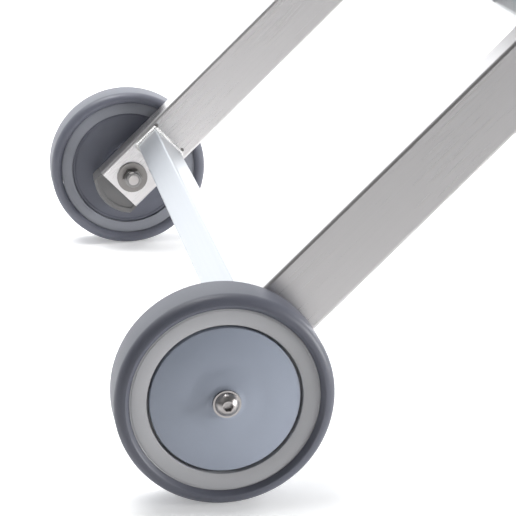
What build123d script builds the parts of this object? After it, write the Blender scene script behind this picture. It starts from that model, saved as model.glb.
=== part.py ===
"""Two-wheeled shopping trolley, parked on its fold-out stand.

The trolley is symmetric about the XZ plane. +X points from the wheels to the handle, +Z is up and
the floor is z = 0. Left is the -Y side. Pieces of the left side are modelled and then mirrored.
Along a rail, r is the distance from the axle towards the handle and n is the distance above the
rail's middle line, square to the rail. On the axle, u is the distance outwards from the wheel's
middle plane. All sizes are in millimetres.
"""
from build123d import *
import math
import os

# ------------------------------------------------------------------ driving sizes
# rails and crossbars
rail_angle = 43.8
rail_length = 960.0
rail_tail = 15.0
rail_gap = 440.0
rail_thickness = 20.0
rail_depth = 40.0
rail_wall = 2.0
rail_corner = 2.0
bar_width = 20.0
bar_depth = 30.0
bar_wall = 1.5
bar_corner = 1.5
lower_bar_r = 31.0
middle_bar_r = 279.0
upper_bar_r = 700.0

# wheels
wheel_radius = 62.5
wheel_width = 32.0
wheel_clearance = 4.8
tyre_height = 8.3
shoulder_radius = 6.0
bead_flat = 0.2
ring_width = 9.6
ring_face = 13.2
ring_slope = 1.1
rim_wall = 4.8
web_half = 2.0
cover_gap = 1.7
cover_edge = 12.0
cover_rise = 2.4
cover_wall = 2.0
boss_radius = 16.6
boss_height = 1.2
disc_edge = 10.3
disc_wall = 2.0
disc_boss = 4.1

# axle
bolt_radius = 4.0
bolt_length = 70.0
head_radius = 7.0
head_height = 4.4
head_flat = 3.4
socket_flats = 5.0
socket_depth = 3.0
nut_flats = 13.0
nut_height = 8.0
nut_collar = 2.0
head_washer_radius = 8.0
head_washer_wall = 1.6
nut_washer_radius = 12.0
nut_washer_wall = 2.0
sleeve_radius = 6.0
sleeve_end = 17.0
collar_radius = 8.5
bearing_radius = 14.0
bearing_width = 8.0
bearing_spacing = 6.0
bearing_race = 2.4
shield_depth = 0.6
hub_wall = 3.7

# plastic ends of the rails
nose_radius = 30.0
nose_edge = 2.0
panel_rim = 2.2
panel_depth = 1.0
nose_spigot = 18.0
cap_height = 4.0
cap_spigot = 15.0

# handle
handle_r = 930.0
handle_radius = 12.5
handle_wall = 2.0
grip_wall = 4.5
grip_length = 220.0
grip_end = 3.0

# stand
pivot_r = 600.0
pivot_n = -38.0
foot_reach = 565.0
leg_width = 25.0
leg_thickness = 8.0
bracket_wall = 3.0
bracket_length = 76.0
bracket_top = 14.0
bracket_below = 34.0
bracket_corner = 6.0
rivet_spacing = 44.0
rivet_radius = 2.4
rivet_head = 4.6
rivet_head_height = 1.8
bush_wall = 2.0
bush_flange = 9.5
flange_height = 1.0
stop_radius = 4.0
stop_distance = 26.0
foot_bar_radius = 8.0
foot_bar_wall = 1.5
foot_bar_height = 60.0
boot_length = 42.0
boot_height = 34.0
boot_wall = 4.0
boot_corner = 3.0

# load tray
tray_width = 300.0
tray_wall = 2.0
tray_lip = 32.0
tray_bend = 3.0

# bag
bag_width = 464.0
bag_depth = 205.0
bag_top_r = 800.0
panel_wall = 4.0
lid_lip = 30.0
lid_overhang = 2.0
strap_width = 25.0
strap_wall = 2.0
strap_spacing = 240.0
front_strap_length = 430.0
buckle_width = 34.0
buckle_height = 56.0
buckle_wall = 8.0
buckle_corner = 3.0

# clearances
bolt_clearance = 0.2
seat_gap = 0.3
running_clearance = 0.04
side_play = 0.2

# ------------------------------------------------------------------ derived sizes
slope_cos = math.cos(math.radians(rail_angle))
slope_sin = math.sin(math.radians(rail_angle))
rail_inner_y = rail_gap / 2
rail_outer_y = rail_inner_y + rail_thickness
rail_middle_y = rail_inner_y + rail_thickness / 2
wheel_y = rail_outer_y + wheel_clearance + wheel_width / 2
rim_radius = wheel_radius - tyre_height - seat_gap
well_radius = rim_radius - ring_width
cover_radius = well_radius - cover_gap
# the row's origin lies under the middle of the box that holds the trolley
reach_to_handle = (rail_length + cap_height) * slope_cos + rail_depth / 2 * slope_sin
axle_x = (wheel_radius - reach_to_handle) / 2
axle_z = wheel_radius


def rail_point(r, n, y=0.0):
    """Point at r along the rails and n above their middle line."""
    return (axle_x + r * slope_cos - n * slope_sin, y, axle_z + r * slope_sin + n * slope_cos)


def rail_section(r, y=0.0):
    """Plane square to the rails: its x is the trolley's Y and its y is n."""
    return Plane(origin=rail_point(r, 0, y), x_dir=(0, 1, 0), z_dir=(slope_cos, 0, slope_sin))


def rail_side(y):
    """Plane at -y on the left side: its x is r, its y is n and its z points outwards, along -Y."""
    return Plane(origin=rail_point(0, 0, -y), x_dir=(slope_cos, 0, slope_sin), z_dir=(0, -1, 0))


def side_view(point, y):
    """Upright plane at -y on the left side, through a point: its x is X, its y is Z."""
    return Plane(origin=(point[0], -y, point[2]), x_dir=(1, 0, 0), z_dir=(0, -1, 0))


def turning_plane(point, y):
    """Plane for profiles turned about a Y axis: its x is the radius and its y points outwards."""
    return Plane(origin=(point[0], -y, point[2]), x_dir=(1, 0, 0), z_dir=(0, 0, -1))


def turned(outline, point, y):
    """Solid of revolution about the Y axis through a point, from (radius, outwards) pairs."""
    with BuildPart() as body:
        with BuildSketch(turning_plane(point, y)):
            with BuildLine():
                Polyline(*outline, close=True)
            make_face()
        revolve(axis=Axis((point[0], -y, point[2]), (0, -1, 0)))
    return body.part


def save(part, name):
    """Label one piece and write its STEP file."""
    part.label = name
    export_step(part, f"parts/{name}.step")


def save_pair(part, name):
    """Write the left piece and its mirror image on the right."""
    save(part, f"{name}_left")
    with BuildPart() as twin:
        mirror(part, about=Plane.XZ)
    save(twin.part, f"{name}_right")


os.makedirs("parts", exist_ok=True)
axle_point = rail_point(0, 0)
pivot_point = rail_point(pivot_r, pivot_n)
bolt_hole = bolt_radius + bolt_clearance

# ------------------------------------------------------------------ rails
rivet_places = [(pivot_r - rivet_spacing / 2, 0), (pivot_r + rivet_spacing / 2, 0)]
with BuildPart() as rail:
    with BuildSketch(rail_section(-rail_tail, -rail_middle_y)):
        RectangleRounded(rail_thickness, rail_depth, rail_corner)
        Rectangle(rail_thickness - 2 * rail_wall, rail_depth - 2 * rail_wall, mode=Mode.SUBTRACT)
    extrude(amount=rail_tail + rail_length)
    with BuildSketch(rail_side(rail_inner_y)):
        Circle(bolt_hole)
    extrude(amount=rail_thickness, mode=Mode.SUBTRACT)
    with BuildSketch(rail_side(rail_outer_y)):
        with Locations(*rivet_places):
            Circle(rivet_radius)
    extrude(amount=-rail_wall, mode=Mode.SUBTRACT)
save_pair(rail.part, "rail")

# nose plug in the lower end: a round nose about the axle, a sunk panel and a spigot round the bolt
spigot_width = rail_thickness - 2 * (rail_wall + seat_gap)
spigot_depth = rail_depth - 2 * (rail_wall + seat_gap)
with BuildPart() as nose:
    with BuildSketch(rail_side(rail_inner_y)) as nose_outline:
        Circle(nose_radius)
        with Locations((-nose_radius - rail_tail, 0)):
            Rectangle(2 * nose_radius, rail_depth, mode=Mode.INTERSECT)
    extrude(amount=rail_thickness)
    nose_curve = nose.edges().filter_by(GeomType.CIRCLE)
    fillet(nose_curve, radius=nose_edge)
    with BuildSketch(rail_side(rail_inner_y)):
        Circle(nose_radius - nose_edge - panel_rim)
        with Locations((-nose_radius - rail_tail, 0)):
            Rectangle(2 * nose_radius, rail_depth - 2 * panel_rim, mode=Mode.INTERSECT)
    extrude(amount=panel_depth, mode=Mode.SUBTRACT)
    with BuildSketch(rail_section(-rail_tail, -rail_middle_y)):
        Rectangle(spigot_width, spigot_depth)
    extrude(amount=rail_tail + nose_spigot)
    with BuildSketch(rail_side(rail_inner_y)):
        Circle(bolt_hole)
    extrude(amount=rail_thickness, mode=Mode.SUBTRACT)
save_pair(nose.part, "rail_nose")

# cap in the upper end
with BuildPart() as cap:
    with BuildSketch(rail_section(rail_length, -rail_middle_y)):
        RectangleRounded(rail_thickness, rail_depth, rail_corner)
    extrude(amount=cap_height)
    with BuildSketch(rail_section(rail_length, -rail_middle_y)):
        Rectangle(spigot_width, spigot_depth)
    extrude(amount=-cap_spigot)
save_pair(cap.part, "rail_cap")

# ------------------------------------------------------------------ crossbars
crossbars = {"crossbar_lower": lower_bar_r, "crossbar_middle": middle_bar_r, "crossbar_upper": upper_bar_r}
for name, bar_r in crossbars.items():
    with BuildPart() as crossbar:
        with BuildSketch(rail_side(0)):
            with Locations((bar_r, 0)):
                RectangleRounded(bar_width, bar_depth, bar_corner)
                Rectangle(bar_width - 2 * bar_wall, bar_depth - 2 * bar_wall, mode=Mode.SUBTRACT)
        extrude(amount=rail_inner_y, both=True)
    save(crossbar.part, name)

# ------------------------------------------------------------------ handle
with BuildPart() as handle_bar:
    with BuildSketch(rail_side(0)):
        with Locations((handle_r, 0)):
            Circle(handle_radius)
            Circle(handle_radius - handle_wall, mode=Mode.SUBTRACT)
    extrude(amount=rail_inner_y, both=True)
save(handle_bar.part, "handle_bar")

with BuildPart() as handle_grip:
    with BuildSketch(rail_side(0)):
        with Locations((handle_r, 0)):
            Circle(handle_radius + seat_gap + grip_wall)
    extrude(amount=grip_length / 2, both=True)
    fillet(handle_grip.edges().filter_by(GeomType.CIRCLE), radius=grip_end)
    with BuildSketch(rail_side(0)):
        with Locations((handle_r, 0)):
            Circle(handle_radius + seat_gap)
    extrude(amount=grip_length / 2, both=True, mode=Mode.SUBTRACT)
save(handle_grip.part, "handle_grip")

# ------------------------------------------------------------------ wheel
half_width = wheel_width / 2
bead_r = wheel_radius - shoulder_radius - bead_flat
with BuildPart() as tyre:
    with BuildSketch(turning_plane(axle_point, wheel_y)) as tyre_profile:
        with BuildLine():
            Polyline(
                (rim_radius + seat_gap, -ring_face),
                (bead_r, -half_width),
                (wheel_radius, -half_width),
                (wheel_radius, half_width),
                (bead_r, half_width),
                (rim_radius + seat_gap, ring_face),
                close=True,
            )
        make_face()
        fillet(tyre_profile.vertices().group_by(Axis.X)[-1], radius=shoulder_radius)
    revolve(axis=Axis((axle_point[0], -wheel_y, axle_point[2]), (0, -1, 0)))
save_pair(tyre.part, "tyre")

# rim: outer ring, web and hub in one moulding
inner_ring_face = disc_edge + cover_wall
disc_seat = disc_edge - disc_wall
cover_seat = cover_edge / 2
hub_end = bearing_spacing / 2 + bearing_width + seat_gap
bearing_bore = bearing_radius + seat_gap / 3
hub_radius = bearing_radius + hub_wall
ledge_radius = well_radius - rim_wall
shoulder_bore = bearing_radius - bearing_race
rim_outline = [
    (well_radius, ring_face - ring_slope),
    (rim_radius, ring_face),
    (rim_radius, -inner_ring_face),
    (well_radius + ring_slope, -inner_ring_face),
    (well_radius + ring_slope, -disc_seat),
    (ledge_radius, -disc_seat),
    (ledge_radius, -web_half),
    (hub_radius, -web_half),
    (hub_radius, -hub_end),
    (bearing_bore, -hub_end),
    (bearing_bore, -bearing_spacing / 2),
    (shoulder_bore, -bearing_spacing / 2),
    (shoulder_bore, bearing_spacing / 2),
    (bearing_bore, bearing_spacing / 2),
    (bearing_bore, hub_end),
    (hub_radius, hub_end),
    (hub_radius, web_half),
    (ledge_radius, web_half),
    (ledge_radius, cover_seat),
    (well_radius, cover_seat),
]
save_pair(turned(rim_outline, axle_point, wheel_y), "rim")

# outer hub cover: a shallow cone with a raised middle, held by a skirt in the rim's well
cover_hole = sleeve_radius + seat_gap + 0.1
cone_top = cover_edge + cover_rise
cover_outline = [
    (cover_radius, cover_seat),
    (cover_radius, cover_edge),
    (boss_radius + boss_height, cone_top),
    (boss_radius, cone_top + boss_height),
    (cover_hole, sleeve_end - seat_gap),
    (cover_hole, sleeve_end - seat_gap - cover_wall),
    (boss_radius - cover_wall, cone_top + boss_height - cover_wall),
    (cover_radius - cover_wall, cover_edge - cover_wall),
    (cover_radius - cover_wall, cover_seat),
]
save_pair(turned(cover_outline, axle_point, wheel_y), "hub_cover")

# inner hub disc: flat, with a raised collar over the hub's end
disc_radius = well_radius + ring_slope - seat_gap
disc_hole = collar_radius + 2 * seat_gap
disc_face = disc_edge + disc_boss
disc_outline = [
    (disc_radius, -disc_seat),
    (disc_radius, -disc_edge),
    (hub_radius + 2 * disc_wall, -disc_edge),
    (hub_radius + disc_wall, -disc_face),
    (disc_hole, -disc_face),
    (disc_hole, -disc_face + disc_wall),
    (hub_radius + seat_gap, -disc_face + disc_wall),
    (hub_radius + seat_gap, -disc_seat),
]
save_pair(turned(disc_outline, axle_point, wheel_y), "hub_disc")

# ball bearings, each closed by shields a little below the faces of its rings
bearing_bore_radius = sleeve_radius + running_clearance
for name, side in (("bearing_outer", 1), ("bearing_inner", -1)):
    near = side * bearing_spacing / 2
    far = side * (bearing_spacing / 2 + bearing_width)
    bearing_outline = [
        (bearing_bore_radius, near),
        (bearing_radius, near),
        (bearing_radius, far),
        (bearing_radius - bearing_race, far),
        (bearing_radius - bearing_race, far - side * shield_depth),
        (bearing_bore_radius + bearing_race, far - side * shield_depth),
        (bearing_bore_radius + bearing_race, far),
        (bearing_bore_radius, far),
    ]
    save_pair(turned(bearing_outline, axle_point, wheel_y), name)

# ------------------------------------------------------------------ axle
# u of the rail's two faces and of the stack on them
rail_face_u = rail_outer_y - wheel_y
rail_back_u = rail_inner_y - wheel_y
collar_end = -(bearing_spacing / 2 + bearing_width + seat_gap)
sleeve_outline = [
    (bolt_hole, rail_face_u),
    (collar_radius, rail_face_u),
    (collar_radius, collar_end),
    (sleeve_radius, collar_end),
    (sleeve_radius, sleeve_end),
    (bolt_hole, sleeve_end),
]
save_pair(turned(sleeve_outline, axle_point, wheel_y), "axle_sleeve")


def washer(outer_radius, start, height, point, y):
    """Plain washer from start outwards along the axis."""
    outline = [
        (bolt_hole, start),
        (outer_radius, start),
        (outer_radius, start + height),
        (bolt_hole, start + height),
    ]
    return turned(outline, point, y)


def button_bolt(seat, length, point, y):
    """Button-head bolt with a hexagon socket, its head's flat underside at seat."""
    top = seat + head_height
    # the head is a cap of a sphere whose middle lies this far below the underside
    dome_drop = (head_radius**2 - head_flat**2 - head_height**2) / (2 * head_height)
    dome_radius = math.hypot(head_radius, dome_drop)
    low_turn = math.atan2(dome_drop, head_radius)
    high_turn = math.atan2(dome_drop + head_height, head_flat)
    middle_turn = (low_turn + high_turn) / 2
    dome_middle_u = seat - dome_drop + dome_radius * math.sin(middle_turn)
    with BuildPart() as bolt:
        with BuildSketch(turning_plane(point, y)):
            with BuildLine():
                Polyline((0, top), (0, seat - length), (bolt_radius, seat - length), (bolt_radius, seat))
                Line((bolt_radius, seat), (head_radius, seat))
                ThreePointArc(
                    (head_radius, seat),
                    (dome_radius * math.cos(middle_turn), dome_middle_u),
                    (head_flat, top),
                )
                Line((head_flat, top), (0, top))
            make_face()
        revolve(axis=Axis((point[0], -y, point[2]), (0, -1, 0)))
        with BuildSketch(side_view(point, y + top)):
            RegularPolygon(socket_flats / 2, 6, major_radius=False)
        extrude(amount=-socket_depth, mode=Mode.SUBTRACT)
    return bolt.part


def lock_nut(face, point, y):
    """Hexagon lock nut with a round collar; it reaches inwards from face."""
    hexagon_height = nut_height - nut_collar
    with BuildPart() as nut:
        with BuildSketch(side_view(point, y + face)):
            RegularPolygon(nut_flats / 2, 6, major_radius=False)
        extrude(amount=-hexagon_height)
        with BuildSketch(side_view(point, y + face - hexagon_height)):
            Circle(nut_flats / 2 - seat_gap)
        extrude(amount=-nut_collar)
        fillet(nut.edges().filter_by(GeomType.CIRCLE).sort_by(Axis.Y)[-1], radius=nut_collar / 2)
        with BuildSketch(side_view(point, y + face)):
            Circle(bolt_hole)
        extrude(amount=-nut_height, mode=Mode.SUBTRACT)
    return nut.part


save_pair(washer(head_washer_radius, sleeve_end, head_washer_wall, axle_point, wheel_y), "head_washer")
axle_bolt = button_bolt(sleeve_end + head_washer_wall, bolt_length, axle_point, wheel_y)
save_pair(axle_bolt, "axle_bolt")
nut_washer_start = rail_back_u - nut_washer_wall
save_pair(washer(nut_washer_radius, nut_washer_start, nut_washer_wall, axle_point, wheel_y), "nut_washer")
save_pair(lock_nut(nut_washer_start, axle_point, wheel_y), "axle_nut")

# ------------------------------------------------------------------ stand
# the foot's middle and the leg's direction
foot_z = boot_wall + seat_gap + leg_width / 2
foot_point = (axle_x + foot_reach, 0, foot_z)
leg_run_x = foot_point[0] - pivot_point[0]
leg_run_z = foot_point[2] - pivot_point[2]
leg_length = math.hypot(leg_run_x, leg_run_z)
leg_x = leg_run_x / leg_length
leg_z = leg_run_z / leg_length
bracket_face_y = rail_outer_y + bracket_wall
leg_face_y = bracket_face_y + side_play + flange_height
leg_outer_y = leg_face_y + leg_thickness
bush_bore = bolt_radius + running_clearance
bush_radius = bush_bore + bush_wall

# bracket riveted to the rail; it carries the pivot and the stud that stops the leg
bracket_height = bracket_top - pivot_n + bracket_below
stop_x = pivot_point[0] + stop_distance * leg_x - (leg_width / 2 + seat_gap + stop_radius) * leg_z
stop_z = pivot_point[2] + stop_distance * leg_z + (leg_width / 2 + seat_gap + stop_radius) * leg_x
stop_point = (stop_x, 0, stop_z)
with BuildPart() as bracket:
    with BuildSketch(rail_side(rail_outer_y)):
        with Locations((pivot_r, bracket_top - bracket_height / 2)):
            RectangleRounded(bracket_length, bracket_height, bracket_corner)
        with Locations((pivot_r, pivot_n)):
            Circle(bolt_hole, mode=Mode.SUBTRACT)
        with Locations(*rivet_places):
            Circle(rivet_radius, mode=Mode.SUBTRACT)
    extrude(amount=bracket_wall)
    with BuildSketch(side_view(stop_point, bracket_face_y)):
        Circle(stop_radius)
    extrude(amount=leg_outer_y - bracket_face_y)
save_pair(bracket.part, "stand_bracket")

with BuildPart() as rivets:
    with BuildSketch(rail_side(bracket_face_y)):
        with Locations(*rivet_places):
            Circle(rivet_head)
    extrude(amount=rivet_head_height)
    fillet(rivets.edges().group_by(Axis.Y)[0], radius=rivet_head_height * 0.8)
    with BuildSketch(rail_side(bracket_face_y)):
        with Locations(*rivet_places):
            Circle(rivet_radius)
    extrude(amount=-bracket_wall - rail_wall)
save_pair(rivets.part, "bracket_rivets")

pivot_seat = leg_outer_y + side_play
pivot_bolt_length = pivot_seat - rail_outer_y + nut_height
save_pair(button_bolt(pivot_seat, pivot_bolt_length, pivot_point, 0), "pivot_bolt")
save_pair(lock_nut(rail_outer_y, pivot_point, 0), "pivot_nut")

bush_outline = [
    (bush_bore, leg_face_y - flange_height),
    (bush_flange, leg_face_y - flange_height),
    (bush_flange, leg_face_y),
    (bush_radius, leg_face_y),
    (bush_radius, leg_outer_y),
    (bush_bore, leg_outer_y),
]
save_pair(turned(bush_outline, pivot_point, 0), "pivot_bush")

leg_turn = math.degrees(math.atan2(leg_run_z, leg_run_x))
leg_middle = (pivot_point[0] + leg_run_x / 2, 0, pivot_point[2] + leg_run_z / 2)
with BuildPart() as leg:
    with BuildSketch(side_view(leg_middle, leg_face_y)):
        SlotCenterToCenter(leg_length, leg_width, rotation=leg_turn)
    extrude(amount=leg_thickness)
    with BuildSketch(side_view(pivot_point, leg_face_y)):
        Circle(bush_radius + seat_gap / 3)
    extrude(amount=leg_thickness, mode=Mode.SUBTRACT)
save_pair(leg.part, "stand_leg")

bar_point = (foot_point[0] - foot_bar_height * leg_x, 0, foot_point[2] - foot_bar_height * leg_z)
with BuildPart() as foot_bar:
    with BuildSketch(side_view(bar_point, 0)):
        Circle(foot_bar_radius)
        Circle(foot_bar_radius - foot_bar_wall, mode=Mode.SUBTRACT)
    extrude(amount=leg_face_y, both=True)
save(foot_bar.part, "foot_bar")

# rubber boot with a flat sole, over the lower end of each leg
boot_thickness = leg_thickness + 2 * (boot_wall + seat_gap)
boot_start_y = leg_face_y - boot_wall - seat_gap
sole_point = (foot_point[0], 0, boot_height / 2)
with BuildPart() as boot:
    with BuildSketch(side_view(sole_point, boot_start_y)):
        Rectangle(boot_length, boot_height)
    extrude(amount=boot_thickness)
    upright_edges = boot.edges().filter_by(Axis.Z)
    top_edges = boot.faces().sort_by(Axis.Z)[-1].edges()
    fillet(upright_edges + top_edges, radius=boot_corner)
    with BuildSketch(side_view(leg_middle, leg_face_y - seat_gap)):
        SlotCenterToCenter(leg_length, leg_width + 2 * seat_gap, rotation=leg_turn)
    extrude(amount=leg_thickness + 2 * seat_gap, mode=Mode.SUBTRACT)
save_pair(boot.part, "stand_boot")

# ------------------------------------------------------------------ load tray
tray_top_r = middle_bar_r + bar_width / 2
tray_start_n = bar_depth / 2
bag_back_n = rail_depth / 2 + seat_gap
bag_front_n = bag_back_n + bag_depth
tray_end_n = bag_front_n + seat_gap + tray_wall
with BuildPart() as tray:
    with BuildSketch(rail_side(0)):
        with BuildLine():
            Polyline(
                (tray_top_r - bar_width, tray_start_n),
                (tray_top_r, tray_start_n),
                (tray_top_r, tray_end_n - tray_wall),
                (tray_top_r + tray_lip, tray_end_n - tray_wall),
                (tray_top_r + tray_lip, tray_end_n),
                (tray_top_r - tray_wall - tray_bend, tray_end_n),
                close=True,
            )
        make_face()
    extrude(amount=tray_width / 2, both=True)
    with BuildSketch(rail_side(0)):
        with BuildLine():
            Polyline(
                (tray_top_r - bar_width, tray_start_n),
                (tray_top_r - tray_wall, tray_start_n),
                (tray_top_r - tray_wall, tray_end_n - tray_wall),
                (tray_top_r - tray_wall - tray_bend, tray_end_n - tray_wall),
                (tray_top_r - bar_width, tray_start_n + tray_bend),
                close=True,
            )
        make_face()
    extrude(amount=tray_width / 2 - tray_wall, both=True, mode=Mode.SUBTRACT)
save(tray.part, "load_tray")

# ------------------------------------------------------------------ bag
bag_base_r = tray_top_r + seat_gap
wall_base_r = bag_base_r + panel_wall + seat_gap
wall_height = bag_top_r - wall_base_r
wall_middle_r = wall_base_r + wall_height / 2
bag_middle_n = (bag_back_n + bag_front_n) / 2


def panel(middle, size, width, y=0.0):
    """Flat panel square to the rails: middle and size are (r, n) pairs."""
    with BuildPart() as board:
        with BuildSketch(rail_side(y)):
            with Locations(middle):
                Rectangle(*size)
        extrude(amount=width / 2, both=True)
    return board.part


base_middle = (bag_base_r + panel_wall / 2, bag_middle_n)
save(panel(base_middle, (panel_wall, bag_depth), bag_width), "bag_base")
back_middle = (wall_middle_r, bag_back_n + panel_wall / 2)
save(panel(back_middle, (wall_height, panel_wall), bag_width), "bag_back")
front_middle = (wall_middle_r, bag_front_n - panel_wall / 2)
save(panel(front_middle, (wall_height, panel_wall), bag_width), "bag_front")
side_depth = bag_depth - 2 * (panel_wall + seat_gap)
side_y = bag_width / 2 - panel_wall / 2
save_pair(panel((wall_middle_r, bag_middle_n), (wall_height, side_depth), panel_wall, side_y), "bag_side")

# lid flap: its hinge seam is the upper back edge, and its lip hangs over the front
lid_base_r = bag_top_r + seat_gap
lid_top_r = lid_base_r + panel_wall
lid_back_n = bag_back_n + seat_gap
lip_start_n = bag_front_n + seat_gap
lid_front_n = lip_start_n + panel_wall
lid_width = bag_width + 2 * lid_overhang
with BuildPart() as lid:
    with BuildSketch(rail_side(0)):
        with BuildLine():
            Polyline(
                (lid_base_r, lid_back_n),
                (lid_top_r, lid_back_n),
                (lid_top_r, lid_front_n),
                (lid_base_r - lid_lip, lid_front_n),
                (lid_base_r - lid_lip, lip_start_n),
                (lid_base_r, lip_start_n),
                close=True,
            )
        make_face()
    extrude(amount=lid_width / 2, both=True)
save(lid.part, "bag_lid")

# webbing loops that tie the bag's back to the upper crossbar
loop_half_r = bar_width / 2 + seat_gap
loop_low_n = -bar_depth / 2 - seat_gap
with BuildPart() as strap:
    with BuildSketch(rail_side(strap_spacing / 2)):
        with Locations((upper_bar_r, (loop_low_n - strap_wall + bag_back_n) / 2)):
            Rectangle(2 * (loop_half_r + strap_wall), bag_back_n - loop_low_n + strap_wall)
        with Locations((upper_bar_r, (loop_low_n + bag_back_n - strap_wall) / 2)):
            Rectangle(2 * loop_half_r, bag_back_n - strap_wall - loop_low_n, mode=Mode.SUBTRACT)
    extrude(amount=strap_width / 2, both=True)
save_pair(strap.part, "bag_strap")

# webbing down the front and the buckle that closes the lid over it
strap_top_r = lid_base_r - lid_lip - seat_gap
front_strap_n = bag_front_n + seat_gap + strap_wall / 2
front_strap_middle = (strap_top_r - front_strap_length / 2, front_strap_n)
save(panel(front_strap_middle, (front_strap_length, strap_wall), strap_width), "front_strap")

buckle_n = lid_front_n + seat_gap + buckle_wall / 2
buckle_middle_r = lid_base_r - lid_lip / 2 - buckle_height / 4
with BuildPart() as buckle:
    with BuildSketch(rail_side(0)):
        with Locations((buckle_middle_r, buckle_n)):
            RectangleRounded(buckle_height, buckle_wall, buckle_corner)
    extrude(amount=buckle_width / 2, both=True)
save(buckle.part, "lid_buckle")

print(f"axle at x {axle_x:.3f}, z {axle_z:.3f}")
print(f"stand pivot {pivot_point}, leg angle {leg_turn:.3f}")
print(f"lid hinge {rail_point(lid_top_r, lid_back_n)}")
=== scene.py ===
# %% [markdown]
# # A two-wheeled shopping trolley
#
# This lesson dresses a finished CAD model. Metal parts whose shape is right get a finish of their
# own. Wheels, plastics and cloth are modelled again, finer than the CAD needs them, and each new
# piece but the hinge tape rides on the part of the trolley that carries it.

# %% Load the frame
import math

import bpy
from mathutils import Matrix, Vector


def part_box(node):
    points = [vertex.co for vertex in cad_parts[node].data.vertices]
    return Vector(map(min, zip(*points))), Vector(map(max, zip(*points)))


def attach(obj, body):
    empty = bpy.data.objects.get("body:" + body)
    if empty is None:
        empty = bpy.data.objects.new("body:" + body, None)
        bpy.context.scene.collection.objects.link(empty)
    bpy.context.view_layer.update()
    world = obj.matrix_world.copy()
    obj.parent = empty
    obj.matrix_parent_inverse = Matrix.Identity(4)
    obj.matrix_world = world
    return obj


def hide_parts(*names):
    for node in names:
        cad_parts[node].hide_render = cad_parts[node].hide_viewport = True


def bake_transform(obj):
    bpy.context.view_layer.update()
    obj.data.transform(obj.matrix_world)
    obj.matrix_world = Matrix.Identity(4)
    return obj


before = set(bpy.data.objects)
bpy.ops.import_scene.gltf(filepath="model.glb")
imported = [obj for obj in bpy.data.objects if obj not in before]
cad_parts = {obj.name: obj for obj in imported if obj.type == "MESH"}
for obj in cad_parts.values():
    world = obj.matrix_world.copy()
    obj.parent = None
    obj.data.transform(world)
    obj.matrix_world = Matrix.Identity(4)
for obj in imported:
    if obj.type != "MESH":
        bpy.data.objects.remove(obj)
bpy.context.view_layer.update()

# %% [markdown]
# ## Finding places on the trolley
#
# The rails lean back, so it helps to measure along them instead of in X and Z. `r` runs from the
# axle towards the handle and `n` stands square to the rails. Both directions come from two CAD
# parts, a tyre and the handle bar, so the lesson still fits if the frame is packed again.

# %% Directions and points on the frame
MM = 0.001


def middle(node):
    """Middle of a CAD node's box."""
    low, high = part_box(node)
    return (low + high) / 2


axle = middle("tyre_left")
wheel_y = axle.y
handle = middle("handle_bar")
along = Vector((handle.x - axle.x, 0, handle.z - axle.z)).normalized()
upward = Vector((-along.z, 0, along.x))
rail_slope = math.atan2(along.z, along.x)


def on_frame(r, n, y=0.0):
    """The point r along the rails from the axle, n above their middle line and y across, in mm."""
    return Vector((axle.x, y * MM, axle.z)) + (along * r + upward * n) * MM


print(f"axle {axle}, rails lean {math.degrees(rail_slope):.1f} degrees")

# %% [markdown]
# ## The camera
#
# A product picture is taken from far away with a long lens, so that round wheels stay round. The
# camera stands a little to the left of the trolley and looks slightly down. It is aimed at a
# point near the axle: only the lower end of the trolley is in the picture.

# %% Camera
view_azimuth = math.radians(-9.6255)
view_elevation = math.radians(17.2449)
view_distance = 1.35
view_target = Vector((axle.x + 0.0664, 0.0101, 0.0555))
to_camera = Vector((
    math.sin(view_azimuth) * math.cos(view_elevation),
    -math.cos(view_azimuth) * math.cos(view_elevation),
    math.sin(view_elevation),
))
bpy.ops.object.camera_add(location=view_target + to_camera * view_distance)
camera = bpy.context.object
camera.rotation_euler = to_camera.to_track_quat("Z", "Y").to_euler()
camera.data.lens = 133.99
camera.data.sensor_width = 36
bpy.context.scene.camera = camera
print("camera at", tuple(round(value, 3) for value in camera.location))

# %% [markdown]
# ## Shader maths as plain expressions
#
# A procedural material is a small calculation done at every point of a surface. Written as nodes
# it is long; written as `0.4 + 0.1 * noise` it is short. `Wire` stands for one output socket and
# turns each sum or product into a Math node. `Finish` owns one material, and its `node` method
# adds any other node: first its settings, then the values or wires of its sockets.

# %% Wires and finishes
class Wire:
    """An output socket that can be used in arithmetic."""

    def __init__(self, finish, socket):
        self.finish = finish
        self.socket = socket

    def maths(self, operation, first, second):
        sockets = {0: first, 1: second}
        return self.finish.node("ShaderNodeMath", {"operation": operation}, sockets)

    def __add__(self, other):
        return self.maths("ADD", self, other)

    def __sub__(self, other):
        return self.maths("SUBTRACT", self, other)

    def __rsub__(self, other):
        return self.maths("SUBTRACT", other, self)

    def __mul__(self, other):
        return self.maths("MULTIPLY", self, other)

    __radd__ = __add__
    __rmul__ = __mul__


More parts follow.
